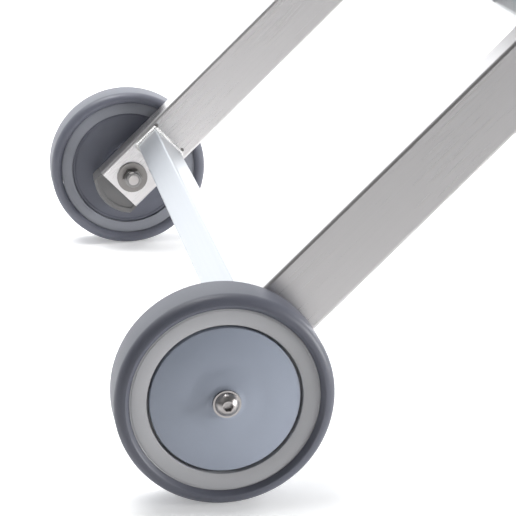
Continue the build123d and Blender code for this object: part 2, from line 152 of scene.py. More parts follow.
class Finish:
    """One material and its nodes."""

    def __init__(self, name):
        self.material = bpy.data.materials.new(name)
        self.material.use_nodes = True
        self.tree = self.material.node_tree
        self.tree.nodes.clear()

    def node(self, kind, settings, sockets, out=0):
        """Add a node, set it up, feed its sockets and return one of its outputs."""
        made = self.tree.nodes.new(kind)
        for name, value in settings.items():
            if name == "stops":
                for element, (place, level) in zip(made.color_ramp.elements, value):
                    element.position = place
                    element.color = (level, level, level, 1)
            else:
                setattr(made, name, value)
        for name, value in sockets.items():
            if isinstance(value, Wire):
                self.tree.links.new(value.socket, made.inputs[name])
            else:
                made.inputs[name].default_value = value
        return Wire(self, made.outputs[out])

    def place(self, size=(1, 1, 1), turn=(0, 0, 0), centre=(0, 0, 0)):
        """Object coordinates, with the pattern centred, turned and stretched to a grain size."""
        where = self.node("ShaderNodeTexCoord", {}, {}, "Object")
        sockets = {"Vector": where, "Location": centre, "Rotation": turn, "Scale": size}
        return self.node("ShaderNodeMapping", {"vector_type": "TEXTURE"}, sockets)

    def noise(self, where, scale, detail=2.0, rough=0.5):
        """Cloudy values from 0 to 1."""
        sockets = {"Vector": where, "Scale": scale, "Detail": detail, "Roughness": rough}
        return self.node("ShaderNodeTexNoise", {}, sockets)

    def steps(self, value, low, high):
        """0 below low, 1 above high and a ramp between them."""
        return self.node("ShaderNodeValToRGB", {"stops": [(low, 0), (high, 1)]}, {"Fac": value})

    def mix(self, share, first, second):
        """One colour turning into another: inputs 6 and 7 and output 2 are the node's colours."""
        sockets = {0: share}
        for number, colour in ((6, first), (7, second)):
            sockets[number] = colour if isinstance(colour, Wire) else (*colour, 1)
        return self.node("ShaderNodeMix", {"data_type": "RGBA"}, sockets, 2)

    def surface(self, colour, roughness, height, depth, **constants):
        """Close the material: a Principled shader with a bumped normal."""
        sockets = {"Height": height, "Distance": depth, "Strength": 1.0}
        bump = self.node("ShaderNodeBump", {}, sockets)
        sockets = {"Base Color": colour, "Roughness": roughness, "Normal": bump}
        for name, value in constants.items():
            sockets[name.replace("_", " ")] = value
        shader = self.node("ShaderNodeBsdfPrincipled", {}, sockets)
        end = self.tree.nodes.new("ShaderNodeOutputMaterial")
        self.tree.links.new(shader.socket, end.inputs["Surface"])
        return self.material


def dress(names, material):
    """Give CAD nodes a material in their own slots."""
    for name in names:
        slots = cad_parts[name].data.materials
        if not slots:
            slots.append(material)
        for index in range(len(slots)):
            slots[index] = material


def pair(*names):
    """The left and right names of parts that come in twos."""
    return [name + side for name in names for side in ("_left", "_right")]


print("shader helpers ready")

# %% [markdown]
# ## Brushed aluminium
#
# The rails and bars are drawn tube, brushed along its length and anodised clear. The oxide layer
# scatters a share of the light, so the metal is less than a full mirror. Brushing is a
# noise stretched into long thin streaks. One function makes the finish for any direction, since
# the streaks of a crossbar run across the trolley and those of a rail run up it. The tray is
# anodised satin, which is paler and scatters far more. The bar that it is welded to wears the
# same pale finish as painted light: a paler copy of the bars' aluminium that makes its top read
# lit.

# %% Aluminium finishes
def brushed(name, turn, length_axis, tint=(0.62, 0.615, 0.615), shine=0.30, metal=0.70):
    """Aluminium brushed along one axis of a turned frame: 0 is X, 1 is Y."""
    finish = Finish(name)
    size = [0.00035] * 3
    size[length_axis] = 0.060
    streaks = finish.noise(finish.place(size, turn), 1.0, 3.0, 0.6)
    size = [0.0016] * 3
    size[length_axis] = 0.30
    bands = finish.noise(finish.place(size, turn), 1.0, 2.0)
    clouds = finish.noise(finish.place(), 9.0, 3.0)
    darker = tuple(value * 0.87 for value in tint)
    colour = finish.mix(streaks * 0.55 + bands * 0.30 + clouds * 0.15, darker, tint)
    roughness = shine + streaks * 0.08 + clouds * 0.05 - 0.06
    return finish.surface(colour, roughness, streaks, 0.000012, Metallic=metal)


leg_low, leg_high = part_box("stand_leg_left")
leg_slope = math.atan2(leg_high.z - leg_low.z, leg_low.x - leg_high.x)
rail_turn = (0, -rail_slope, 0)
leg_turn = (0, -leg_slope, 0)
rail_metal = brushed("rail_aluminium", rail_turn, 0, (0.61, 0.593, 0.593), 0.28, 0.92)
cross_metal = brushed("crossbar_aluminium", rail_turn, 1, (0.535, 0.555, 0.585), 0.34)
tray_and_painted_lit_bar_metal = brushed("tray_aluminium_and_painted_lit_bar", rail_turn, 1, (0.92, 0.93, 0.94), 0.50, 0.12)
leg_metal = brushed("leg_aluminium", leg_turn, 0)
dress(pair("rail"), rail_metal)
dress(["crossbar_lower", "crossbar_upper"], cross_metal)
dress(["handle_bar", "foot_bar"], cross_metal)
# The middle crossbar's pale tray finish is painted light on the bar.
dress(["load_tray", "crossbar_middle"], tray_and_painted_lit_bar_metal)
dress(pair("stand_leg"), leg_metal)
print("aluminium on rails, bars, tray and legs")

# %% [markdown]
# ## Stainless fasteners and plated steel
#
# Bolts, washers and nuts are small and shiny. Their finish is mostly gloss, with fine scratches
# so that the highlight isn't perfectly clean. The nuts and their washers are darker: painted shade
# of the rail ends where they sit. The brackets are zinc plated: duller and cloudy.

# %% Steel finishes
def steel(name, tint, shine, cloud_scale):
    """Polished or plated steel with fine scratches in every direction."""
    finish = Finish(name)
    clouds = finish.noise(finish.place(), cloud_scale, 4.0)
    scratches = finish.noise(finish.place((0.0002, 0.002, 0.0003), (0.4, 0.9, 0.2)), 1.0, 2.0)
    darker = tuple(value * 0.82 for value in tint)
    colour = finish.mix(clouds * 0.7 + scratches * 0.3, darker, tint)
    roughness = shine + clouds * 0.08 + scratches * 0.06
    return finish.surface(colour, roughness, scratches, 0.000006, Metallic=1.0)


stainless = steel("stainless_steel", (0.66, 0.64, 0.62), 0.16, 300.0)
bolt_steel = steel("bolt_steel", (0.50, 0.475, 0.465), 0.24, 300.0)
# The nuts and their washers are stainless steel darkened as painted shade of the rail ends.
painted_shade_nut_steel = steel("painted_shade_nut_steel", (0.24, 0.235, 0.23), 0.22, 240.0)
painted_shade_washer_steel = steel("painted_shade_washer_steel", (0.23, 0.218, 0.21), 0.24, 240.0)
bracket_steel = steel("plated_steel", (0.56, 0.57, 0.58), 0.30, 70.0)
dress(pair("pivot_bolt", "pivot_nut"), stainless)
dress(pair("axle_bolt", "head_washer"), bolt_steel)
dress(pair("axle_nut"), painted_shade_nut_steel)
dress(pair("nut_washer"), painted_shade_washer_steel)
dress(pair("axle_sleeve", "bearing_outer", "bearing_inner", "bracket_rivets"), stainless)
dress(pair("stand_bracket"), bracket_steel)
print("steel on fasteners and brackets")

# %% [markdown]
# ## Moulded plastic and rubber
#
# A mould leaves a fine grain on everything that comes out of it. Plastic and rubber differ in
# colour, in gloss and in how coarse that grain is, so one function serves them all.

# %% Plastic and rubber finishes
def moulded(name, tint, shine, grain, depth, spread=0.12, **constants):
    """Plastic or rubber: a grain of some size, uneven gloss and a little unevenness in colour."""
    finish = Finish(name)
    fine = finish.noise(finish.place((grain, grain, grain)), 1.0, 3.0, 0.6)
    clouds = finish.noise(finish.place(), 28.0, 4.0)
    specks = finish.steps(finish.noise(finish.place(), 900.0, 1.0), 0.66, 0.74)
    darker = tuple(value * (1 - spread) for value in tint)
    lighter = tuple(min(1, value * (1 + spread)) for value in tint)
    colour = finish.mix(clouds * 0.6 + fine * 0.4, darker, lighter)
    colour = finish.mix(specks * 0.12, colour, lighter)
    roughness = shine + clouds * 0.10 + fine * 0.06 - 0.08
    return finish.surface(colour, roughness, fine, depth, **constants)


tyre_rubber = moulded("tyre_rubber", (0.105, 0.110, 0.138), 0.44, 0.0006, 0.00003)
rim_plastic = moulded("rim_plastic", (0.415, 0.415, 0.43), 0.46, 0.0005, 0.00004, 0.05)
cover_plastic = moulded("cover_plastic", (0.315, 0.348, 0.42), 0.36, 0.0004, 0.00001, 0.04)
# The hub disc is the cover's blue-grey plastic, darkened as painted shade.
painted_shade_disc_plastic = moulded("painted_shade_disc_plastic", (0.090, 0.095, 0.122), 0.42, 0.0004, 0.00001, 0.05)
# A darker grey for the rim's faces towards the frame: painted shade on the same moulding.
painted_shade_inner_ring_tint = (0.20, 0.207, 0.235)
painted_shade_inner_ring_plastic = moulded("painted_shade_inner_ring_plastic", painted_shade_inner_ring_tint, 0.46, 0.0005, 0.00003, 0.05)
# The rail-end plastic is a dark grey, made darker still as painted shade of the rail ends.
end_plastic = moulded("end_plastic", (0.105, 0.103, 0.104), 0.34, 0.0005, 0.00002, 0.06)
bush_nylon = moulded("bush_nylon", (0.70, 0.69, 0.66), 0.45, 0.0008, 0.00001, 0.05)
boot_rubber = moulded("boot_rubber", (0.040, 0.041, 0.045), 0.58, 0.0007, 0.00005, 0.2)
dress(pair("rail_nose", "rail_cap"), end_plastic)
dress(pair("stand_boot"), boot_rubber)
dress(pair("pivot_bush"), bush_nylon)
print("plastics and rubbers ready")

# %% [markdown]
# ## Modelling helpers
#
# A turned piece starts as its profile. A small plane is merged to one vertex, the vertex is
# extruded from point to point, corners are rounded with a vertex bevel, and the wire is spun
# round the axis. That is how a wheel part is drawn by hand, and its profile stays easy to read.

# %% Tracing, rounding and spinning
segment_length = 0.0006
same_place = 1e-6


def work_on(piece):
    """Make one piece the only selected and active object."""
    bpy.ops.object.select_all(action="DESELECT")
    piece.select_set(True)
    bpy.context.view_layer.objects.active = piece


def select_where(piece, test, kind="vertices"):
    """In edit mode, select only the vertices, edges or faces that pass a test."""
    modes = {"vertices": "VERT", "edges": "EDGE", "polygons": "FACE"}
    bpy.ops.mesh.select_mode(type=modes[kind])
    bpy.ops.mesh.select_all(action="DESELECT")
    bpy.ops.object.mode_set(mode="OBJECT")
    for element in getattr(piece.data, kind):
        element.select = bool(test(element))
    bpy.ops.object.mode_set(mode="EDIT")


def trace(name, points):
    """A wire through the points, left in edit mode: one vertex extruded from point to point."""
    bpy.ops.object.select_all(action="DESELECT")
    bpy.ops.mesh.primitive_plane_add(size=0.001, location=points[0])
    piece = bpy.context.object
    piece.name = name
    bpy.ops.object.transform_apply()
    bpy.ops.object.mode_set(mode="EDIT")
    bpy.ops.mesh.select_mode(type="VERT")
    bpy.ops.mesh.select_all(action="SELECT")
    bpy.ops.mesh.merge(type="CENTER")
    for start, end in zip(points, points[1:]):
        move = {"value": Vector(end) - Vector(start)}
        bpy.ops.mesh.extrude_region_move(TRANSFORM_OT_translate=move)
    return piece


def close_wire():
    """Join the last point of a traced wire to the first."""
    bpy.ops.mesh.select_all(action="SELECT")
    bpy.ops.mesh.edge_face_add()
    bpy.ops.mesh.delete(type="ONLY_FACE")


def round_corners(piece, corners):
    """Vertex bevel at (point, radius) corners of a traced wire."""
    for point, radius in corners:
        near = Vector(point)
        select_where(piece, lambda vertex: (vertex.co - near).length < same_place)
        segments = max(2, int(radius / segment_length))
        bpy.ops.mesh.bevel(affect="VERTICES", offset=radius, segments=segments)


def tidy_mesh(piece, sharp=35.0):
    """Merge doubles, point the faces outwards, leave edit mode and shade smooth by angle."""
    bpy.ops.mesh.select_mode(type="VERT")
    bpy.ops.mesh.select_all(action="SELECT")
    bpy.ops.mesh.remove_doubles(threshold=same_place)
    bpy.ops.mesh.normals_make_consistent(inside=False)
    bpy.ops.object.mode_set(mode="OBJECT")
    work_on(piece)
    bpy.ops.object.shade_smooth_by_angle(angle=math.radians(sharp))
    return piece


def turned(name, profile, centre, steps):
    """Spin (radius, outward, rounding) points, in mm, about a crosswise axis through centre."""
    outwards = 1 if centre.y > 0 else -1

    def place(radius, outward):
        return centre + Vector((radius, outward * outwards, 0)) * MM

    points = [place(radius, outward) for radius, outward, _ in profile]
    piece = trace(name, points)
    close_wire()
    corners = [(place(radius, outward), r * MM) for radius, outward, r in profile if r]
    round_corners(piece, corners)
    bpy.ops.mesh.select_all(action="SELECT")
    bpy.ops.mesh.spin(steps=steps, angle=2 * math.pi, center=centre, axis=(0, 1, 0))
    return tidy_mesh(piece)


def there_and_back(half, between):
    """A profile with the same end on both sides and some points between."""
    return [(radius, -outward, r) for radius, outward, r in half] + between + half[::-1]


def solidify(piece, thickness, offset=0.0):
    """Give a sheet a thickness in mm, to both sides or (offset -1) inwards."""
    bpy.ops.object.modifier_add(type="SOLIDIFY")
    piece.modifiers["Solidify"].thickness = thickness * MM
    piece.modifiers["Solidify"].offset = offset
    bpy.ops.object.modifier_apply(modifier="Solidify")


def soften(piece, width, sharp):
    """A small bevel on every sharp edge, then smooth shading."""
    bpy.ops.object.modifier_add(type="BEVEL")
    piece.modifiers["Bevel"].width = width
    piece.modifiers["Bevel"].segments = 2
    piece.modifiers["Bevel"].limit_method = "ANGLE"
    bpy.ops.object.modifier_apply(modifier="Bevel")
    bpy.ops.object.shade_smooth_by_angle(angle=math.radians(sharp))


def mirrored(piece, name):
    """A copy on the other side of the trolley, with a mesh of its own."""
    twin = piece.copy()
    twin.data = piece.data.copy()
    twin.name = name
    bpy.context.scene.collection.objects.link(twin)
    work_on(twin)
    bpy.ops.object.mode_set(mode="EDIT")
    bpy.ops.mesh.select_all(action="SELECT")
    bpy.ops.transform.mirror(constraint_axis=(False, True, False), center_override=(0, 0, 0))
    return tidy_mesh(twin)


def fit(piece, material, body, slot, *nodes):
    """Finish a piece: material, body and the CAD nodes it stands for; slot is not used."""
    piece.data.materials.clear()
    piece.data.materials.append(material)
    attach(piece, body)
    if nodes:
        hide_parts(*nodes)
    print(piece.name, "has", len(piece.data.polygons), "faces")


def fit_pair(piece, material, body, slot, node):
    """Finish a left piece and its mirrored twin; body names end in their side too."""
    twin = mirrored(piece, piece.name.replace("left", "right"))
    for side, one in (("left", piece), ("right", twin)):
        fit(one, material, body.replace("SIDE", side), slot, f"{node}_{side}")
    return piece, twin


print("modelling helpers ready")

# %% [markdown]
# ## The tyre
#
# A solid rubber tyre: flat tread, round shoulders, and side walls that meet the rim in a small
# lip.

# %% Tyre
tyre_low, tyre_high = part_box("tyre_left")
tyre_radius = (tyre_high.z - tyre_low.z) / 2 / MM
half_width = (tyre_high.y - tyre_low.y) / 2 / MM
shoulder = 5.8
lip_radius, lip_half = 54.2, 13.2
side_wall = [
    (lip_radius, lip_half, 0),
    (lip_radius + 0.9, lip_half + 1.2, 0.6),
    (lip_radius + 2.1, half_width, 1.2),
    (tyre_radius, half_width, shoulder),
]
tyre_profile = there_and_back(side_wall, [(tyre_radius, 0, 0)])
wheel_steps = 160
tyre = turned("tyre_left_rubber", tyre_profile, axle, wheel_steps)
fit_pair(tyre, tyre_rubber, "wheel_SIDE", "tyre_rubber", "tyre")

# %% [markdown]
# ## The rim
#
# One moulding holds the tyre: a broad ring that shows from outside, a thin web behind the cover
# and a hub for the bearings. The ring's edges are only just broken, so that they catch light. The
# side that faces the frame gets a second, darker grey material: painted shade on the one moulding.

# %% Rim
rim_profile = [
    (44.3, 12.4, 0.35),
    (52.9, 13.1, 0.25),
    (53.2, 12.75, 0.1),
    (53.6, 12.75, 0.1),
    (53.9, 13.1, 0.1),
    (53.9, -12.3, 0.3),
    (45.4, -12.3, 0.4),
    (45.4, -8.3, 0),
    (39.5, -8.3, 0.5),
    (39.5, -2.0, 1.0),
    (17.7, -2.0, 1.0),
    (17.7, -11.3, 0.4),
    (14.1, -11.3, 0.3),
    (14.1, -3.0, 0),
    (11.6, -3.0, 0),
    (11.6, 3.0, 0),
    (14.1, 3.0, 0),
    (14.1, 11.3, 0.3),
    (17.7, 11.3, 0.4),
    (17.7, 2.0, 1.0),
    (39.5, 2.0, 1.0),
    (39.5, 6.0, 0.5),
    (44.3, 6.0, 0),
]
rim = turned("rim_left_moulding", rim_profile, axle, wheel_steps)
# The rim's faces nearer the frame get the darker grey: painted shade.
for piece in fit_pair(rim, rim_plastic, "wheel_SIDE", "rim_plastic", "rim"):
    piece.data.materials.append(painted_shade_inner_ring_plastic)
    for face in piece.data.polygons:
        if abs(face.center.y) < abs(wheel_y):
            face.material_index = 1

# %% [markdown]
# ## Hub cover and hub disc
#
# The cover outside is a very shallow cone with a low round boss under the bolt. The disc inside
# is flat and has a raised collar round the hub; its dark blue-grey is the cover's plastic darkened
# as painted shade. Both are thin, and both leave a dark gap.

# %% Hub cover and hub disc
cover_profile = [
    (42.6, 6.0, 0),
    (42.6, 12.0, 0.7),
    (20.5, 14.1, 2.6),
    (14.5, 15.4, 2.6),
    (9.6, 16.0, 1.5),
    (8.4, 16.7, 0.4),
    (6.4, 16.7, 0.3),
    (6.4, 14.7, 0),
    (14.6, 13.5, 0),
    (40.6, 10.0, 0),
    (40.6, 6.0, 0),
]
cover = turned("hub_cover_left_shell", cover_profile, axle, wheel_steps)
fit_pair(cover, cover_plastic, "wheel_SIDE", "cover_plastic", "hub_cover")

disc_profile = [
    (45.1, -8.3, 0),
    (45.1, -10.3, 0.4),
    (43.2, -10.3, 0.3),
    (42.6, -9.8, 0.3),
    (24.0, -10.3, 2.0),
    (21.2, -11.2, 0.8),
    (19.7, -14.3, 0.8),
    (9.2, -14.4, 0.4),
    (9.2, -12.4, 0),
    (18.0, -12.4, 0),
    (18.0, -8.3, 0),
]
disc = turned("hub_disc_left_shell", disc_profile, axle, wheel_steps)
# The hub disc's dark tint is painted shade.
fit_pair(disc, painted_shade_disc_plastic, "wheel_SIDE", "cover_plastic", "hub_disc")

# %% [markdown]
# ## Weld beads
#
# Each crossbar is welded to the rails all the way round. A hand-made bead is a row of small
# overlapping puddles. One puddle is modelled, flattened and tilted, and then copied along the
# outline of the bar; the whole ring is copied for the other bars and the other side. Where the
# welder stopped, a small dark crater is left at two of the corners.

# %% Walking along a line
def walk(points, pitch, closed=False):
    """Evenly spaced (place, direction) pairs along a line of points."""
    line = [Vector(point) for point in points]
    if closed:
        line.append(line[0])
    spans = [end - start for start, end in zip(line, line[1:])]
    total = sum(span.length for span in spans)
    count = max(1, round(total / pitch))
    found, passed, index = [], 0.0, 0
    for number in range(count if closed else count + 1):
        target = total * number / count
        while index < len(spans) - 1 and passed + spans[index].length < target:
            passed += spans[index].length
            index += 1
        span = spans[index]
        found.append((line[index] + span.normalized() * (target - passed), span.normalized()))
    return found


print(len(walk([(0, 0, 0), (0.01, 0, 0)], 0.001)), "places, 1 mm apart, on a 10 mm line")

# %% Small shapes in a row
def row_of(name, shape, places):
    """Copies of one small shape, its X along each direction, joined into one piece."""
    copies = []
    for place, direction in places:
        one = shape.copy()
        one.data = shape.data.copy()
        one.location = place
        one.rotation_mode = "QUATERNION"
        one.rotation_quaternion = direction.to_track_quat("X", "Z")
        bpy.context.scene.collection.objects.link(one)
        copies.append(one)
    bpy.data.objects.remove(shape)
    bpy.ops.object.select_all(action="DESELECT")
    for one in copies:
        one.select_set(True)
    bpy.context.view_layer.objects.active = copies[0]
    bpy.ops.object.join()
    piece = bpy.context.object
    piece.name = name
    bpy.ops.object.transform_apply()
    bpy.ops.object.shade_smooth()
    return piece


def bead(name, size, segments=8, rings=6):
    """A small rounded shape at the world's origin, its poles along X, ready to be copied."""
    bpy.ops.object.select_all(action="DESELECT")
    bpy.ops.mesh.primitive_uv_sphere_add(segments=segments, ring_count=rings, radius=1)
    shape = bpy.context.object
    shape.name = name
    bpy.ops.object.mode_set(mode="EDIT")
    bpy.ops.mesh.select_all(action="SELECT")
    turn = {"value": math.pi / 2, "orient_axis": "Y", "center_override": (0, 0, 0)}
    bpy.ops.transform.rotate(**turn)
    bpy.ops.transform.resize(value=size, center_override=(0, 0, 0))
    bpy.ops.object.mode_set(mode="OBJECT")
    return shape


print("row helpers ready")

# %% Weld beads
weld_finish = Finish("weld_metal")
weld_clouds = weld_finish.noise(weld_finish.place(), 420.0, 3.0)
weld_colour = weld_finish.mix(weld_clouds, (0.46, 0.45, 0.44), (0.78, 0.78, 0.78))
weld_roughness = 0.38 + weld_clouds * 0.22
weld_metal = weld_finish.surface(weld_colour, weld_roughness, weld_clouds, 0.00004, Metallic=1.0)
weld_scale = moulded("weld_scale", (0.10, 0.095, 0.09), 0.5, 0.0004, 0.00004, 0.3)
bar_places = {"lower": 31.0, "middle": 279.0, "upper": 700.0}
bar_half_width, bar_half_depth = 10.0, 15.0
rail_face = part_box("crossbar_lower")[1].y / MM
weld_pitch = 0.0016
for bar, bar_r in bar_places.items():
    low_r, high_r = bar_r - bar_half_width, bar_r + bar_half_width
    low_n, high_n = -bar_half_depth, bar_half_depth
    corners = [(low_r, low_n), (high_r, low_n), (high_r, high_n), (low_r, high_n)]
    ring = [on_frame(r, n, -rail_face + 0.5) for r, n in corners]
    puddle = bead("puddle", (0.0018, 0.0024, 0.0023))
    weld = row_of(f"weld_{bar}_left", puddle, walk(ring, weld_pitch, closed=True))
    twin = mirrored(weld, f"weld_{bar}_right")
    for one in (weld, twin):
        fit(one, weld_metal, "frame", "brushed_aluminium")
    ends = [on_frame(high_r + 2.2, n, -rail_face + 0.3) for n in (low_n + 2, high_n + 1.2)]
    crater = bead("crater", (0.0017, 0.0008, 0.0016))
    marks = row_of(f"weld_ends_{bar}_left", crater, [(end, along) for end in ends])
    twin = mirrored(marks, f"weld_ends_{bar}_right")
    for one in (marks, twin):
        fit(one, weld_scale, "frame", "brushed_aluminium")

# %% [markdown]
# ## The handle grip
#
# A foam sleeve with a collar at each end and shallow rings for the fingers. It is turned like
# the wheel parts, but about the handle bar.

# %% Handle grip
grip_foam = moulded("grip_foam", (0.030, 0.031, 0.034), 0.72, 0.0011, 0.00018, 0.25)
grip_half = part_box("handle_grip")[1].y / MM
grip_bore, grip_outer = 12.8, 17.3
collar_width, ring_pitch, ring_margin, grip_steps = 9, 9.0, 20, 72
collar = [
    (grip_bore, grip_half, 0.5),
    (grip_outer, grip_half, 2.4),
    (grip_outer, grip_half - collar_width, 1.0),
    (grip_outer - 1.0, grip_half - collar_width - 2, 1.0),
]
rings = []
for number in range(int((2 * grip_half - 2 * ring_margin) / ring_pitch) + 1):
    ring_u = -grip_half + ring_margin + number * ring_pitch
    for away, groove in ((-1.7, 0.5), (0, 1.6), (1.7, 0.5)):
        rings.append((grip_outer - groove, ring_u + away, 0.8))
grip = turned("handle_grip_foam", there_and_back(collar, rings), handle, grip_steps)
fit(grip, grip_foam, "frame", "grip_foam", "handle_grip")

# %% [markdown]
# ## Felt and webbing
#
# Felt is matted wool: flecks of lighter and darker fibre with no weave, and no gloss. Webbing is
# woven, so its pattern follows the strap: fine ribs across it. The ribs are a wave along the
# strap's own direction, broken up a little by noise.

# %% Cloth finishes
def felt(name, tint, fleck):
    """Matted fibres in two directions over soft clouds of colour."""
    finish = Finish(name)
    one_way = finish.noise(finish.place((0.0006, 0.004, 0.0008), (0.3, 0.5, 0.8)), 1.0, 3.0)
    other_way = finish.noise(finish.place((0.004, 0.0006, 0.0008), (0.7, -0.4, 0.3)), 1.0, 3.0)
    clouds = finish.noise(finish.place(), 14.0, 4.0)
    fibres = one_way.maths("MAXIMUM", one_way, other_way)
    darker = tuple(value * 0.72 for value in tint)
    colour = finish.mix(fibres * 0.75 + clouds * 0.25, darker, tint)
    flecks = finish.steps(fibres, 0.60, 0.74)
    colour = finish.mix(flecks * 0.35, colour, fleck)
    roughness = 0.86 + clouds * 0.08
    constants = {"Sheen_Weight": 0.25, "Sheen_Roughness": 0.5, "Specular_IOR_Level": 0.2}
    return finish.surface(colour, roughness, fibres, 0.0006, **constants)


def woven(name, tint, turn, pitch=0.0016):
    """Webbing with ribs across the X of a turned frame."""
    finish = Finish(name)
    where = finish.place((1, 1, 1), turn)
    wave = {"wave_type": "BANDS", "bands_direction": "X"}
    ribs = finish.node(
        "ShaderNodeTexWave", wave, {"Vector": where, "Scale": 0.314 / pitch, "Distortion": 0.4}, 1
    )
    yarn = finish.noise(finish.place((0.0008, 0.0008, 0.0008)), 1.0, 3.0)
    darker = tuple(value * 0.55 for value in tint)
    colour = finish.mix(ribs * 0.6 + yarn * 0.4, darker, tint)
    return finish.surface(colour, 0.70 + yarn * 0.15, ribs * 0.7 + yarn * 0.3, 0.0003)


bag_felt = felt("bag_felt", (0.120, 0.128, 0.142), (0.34, 0.35, 0.37))
lid_felt = felt("lid_felt", (0.105, 0.112, 0.125), (0.32, 0.33, 0.35))
webbing = woven("webbing", (0.055, 0.058, 0.066), rail_turn)
thread = moulded("thread", (0.42, 0.43, 0.45), 0.62, 0.0003, 0.00003, 0.2)
binding = woven("binding_tape", (0.045, 0.047, 0.053), (0, 0, 0.7), 0.0010)
print("cloth finishes ready")

# %% [markdown]
# ## The bag
#
# The bag is one sewn felt shell, open at the top. It starts as a box with rounded corners, cut
# into a fine grid so that it can bend. Then it is hung as cloth: the rim, the two loops and the
# base on the tray stay where they are, the rest swells and sags. Felt is stiff, so no point may
# move more than about a centimetre, and nothing may sink into the tray or the rails.

# %% Room for the bag
bag_r = (289.6, 800.0)
bag_n = (20.6, 225.0)
bag_half = 231.6
tray_half = 152.0
tray_lip_r = 325.0
lid_lip_r = 764.0
swollen_n = 240.0
bag_sag = 11.0
base_sag = 5


def stand_up(piece):
    """A piece modelled flat, X along the rails and Z square to them, leans into its place."""
    piece.rotation_euler = (0, -rail_slope, 0)
    piece.location = Vector((axle.x, 0, axle.z))
    work_on(piece)
    bpy.ops.object.transform_apply()


def to_frame(point):
    """A point of the world as (r, n, y) in millimetres."""
    offset = point - Vector((axle.x, 0, axle.z))
    return offset.dot(along) / MM, offset.dot(upward) / MM, offset.y / MM


def cut_grid(direction, places):
    """Bisect everything square to a direction, at each of these places."""
    for place in places:
        bpy.ops.mesh.select_all(action="SELECT")
        point = Vector(direction) * place
        bpy.ops.mesh.bisect(plane_co=point, plane_no=direction)


def steps_between(low, high, count):
    """Evenly spaced values inside a range, in metres."""
    return [(low + (high - low) * number / count) * MM for number in range(1, count)]


print("bag:", bag_r[1] - bag_r[0], "mm high,", 2 * bag_half, "mm wide")

# %% Bag shell
side_round, base_round, grid_margin = 0.022, 0.009, 24
rows_up, rows_across, rows_deep = 34, 28, 12
bpy.ops.object.select_all(action="DESELECT")
bag_middle = (sum(bag_r) / 2 * MM, 0, sum(bag_n) / 2 * MM)
bag_size = ((bag_r[1] - bag_r[0]) * MM, 2 * bag_half * MM, (bag_n[1] - bag_n[0]) * MM)
bpy.ops.mesh.primitive_cube_add(size=1, location=bag_middle, scale=bag_size)
bag = bpy.context.object
bag.name = "bag_shell"
bpy.ops.object.transform_apply()
bpy.ops.object.mode_set(mode="EDIT")
select_where(bag, lambda face: face.normal.x > 0.9, "polygons")
bpy.ops.mesh.delete(type="FACE")


def runs_along_rails(edge):
    start, end = (bag.data.vertices[index].co for index in edge.vertices)
    return abs(start.x - end.x) > 0.1


def lies_at_base(edge):
    return all(bag.data.vertices[index].co.x < bag_r[0] * MM + 1e-4 for index in edge.vertices)


select_where(bag, runs_along_rails, "edges")
bpy.ops.mesh.bevel(offset=side_round, segments=4)
select_where(bag, lies_at_base, "edges")
bpy.ops.mesh.bevel(offset=base_round, segments=2)
inner_half = bag_half - grid_margin
inner_n = (bag_n[0] + grid_margin, bag_n[1] - grid_margin)
cut_grid((1, 0, 0), steps_between(*bag_r, rows_up))
cut_grid((0, 1, 0), steps_between(-inner_half, inner_half, rows_across))
cut_grid((0, 0, 1), steps_between(*inner_n, rows_deep))
bpy.ops.mesh.select_all(action="SELECT")
bpy.ops.mesh.remove_doubles(threshold=1e-5)
bpy.ops.mesh.normals_make_consistent(inside=False)
bpy.ops.object.mode_set(mode="OBJECT")
stand_up(bag)
print("bag grid has", len(bag.data.polygons), "faces")


# %% Hang the bag
def hang(piece, held, frames=22, pressure=1.2):
    """Cloth simulation from the present shape; held(r, n, y) says which points are sewn down."""
    most = bag_sag * MM
    pins = piece.vertex_groups.new(name="held")
    start = [vertex.co.copy() for vertex in piece.data.vertices]
    pins.add([i for i, co in enumerate(start) if held(*to_frame(co))], 1.0, "REPLACE")
    work_on(piece)
    bpy.ops.object.modifier_add(type="CLOTH")
    cloth = piece.modifiers["Cloth"]
    cloth.settings.quality = 6
    cloth.settings.mass = 0.35
    cloth.settings.tension_stiffness = 30
    cloth.settings.compression_stiffness = 30
    cloth.settings.shear_stiffness = 12
    cloth.settings.bending_stiffness = 6
    cloth.settings.vertex_group_mass = "held"
    cloth.settings.use_pressure = True
    cloth.settings.uniform_pressure_force = pressure
    cloth.collision_settings.use_collision = False
    cloth.point_cache.frame_end = frames
    for number in range(1, frames + 1):
        bpy.context.scene.frame_set(number)
    bpy.ops.object.modifier_apply(modifier="Cloth")
    bpy.context.scene.frame_set(1)
    for vertex, before in zip(piece.data.vertices, start):
        moved = vertex.co - before
        reach = moved.length
        if reach > 0:
            vertex.co = before + moved * (most * math.tanh(reach / most) / reach)
    piece.vertex_groups.clear()


loop_y, loop_reach_r, loop_reach_y = 120.0, 14, 18


def sewn_down(r, n, y):
    """True on the rim, on the tray and where the two webbing loops hold the back."""
    on_rim = r > bag_r[1] - 8
    near_loop = abs(r - bar_places["upper"]) < loop_reach_r and abs(abs(y) - loop_y) < loop_reach_y
    at_loop = n < bag_n[0] + 2 and near_loop
    on_tray = r < bag_r[0] + 3 and abs(y) < tray_half
    return on_rim or at_loop or on_tray


def keep_clear(piece):
    """Push points back out of the tray, the rails and the room of the lid's lip."""
    for vertex in piece.data.vertices:
        r, n, y = to_frame(vertex.co)
        behind_lip = (r < tray_lip_r and abs(y) < tray_half) or r > lid_lip_r
        clear_n = min(max(n, bag_n[0]), bag_n[1] if behind_lip else swollen_n)
        clear_r = max(r, bag_r[0] if abs(y) < tray_half else bag_r[0] - base_sag)
        vertex.co = on_frame(clear_r, clear_n, y)


hang(bag, sewn_down)
keep_clear(bag)
print("bag hangs, its box is", tuple(bag.dimensions))

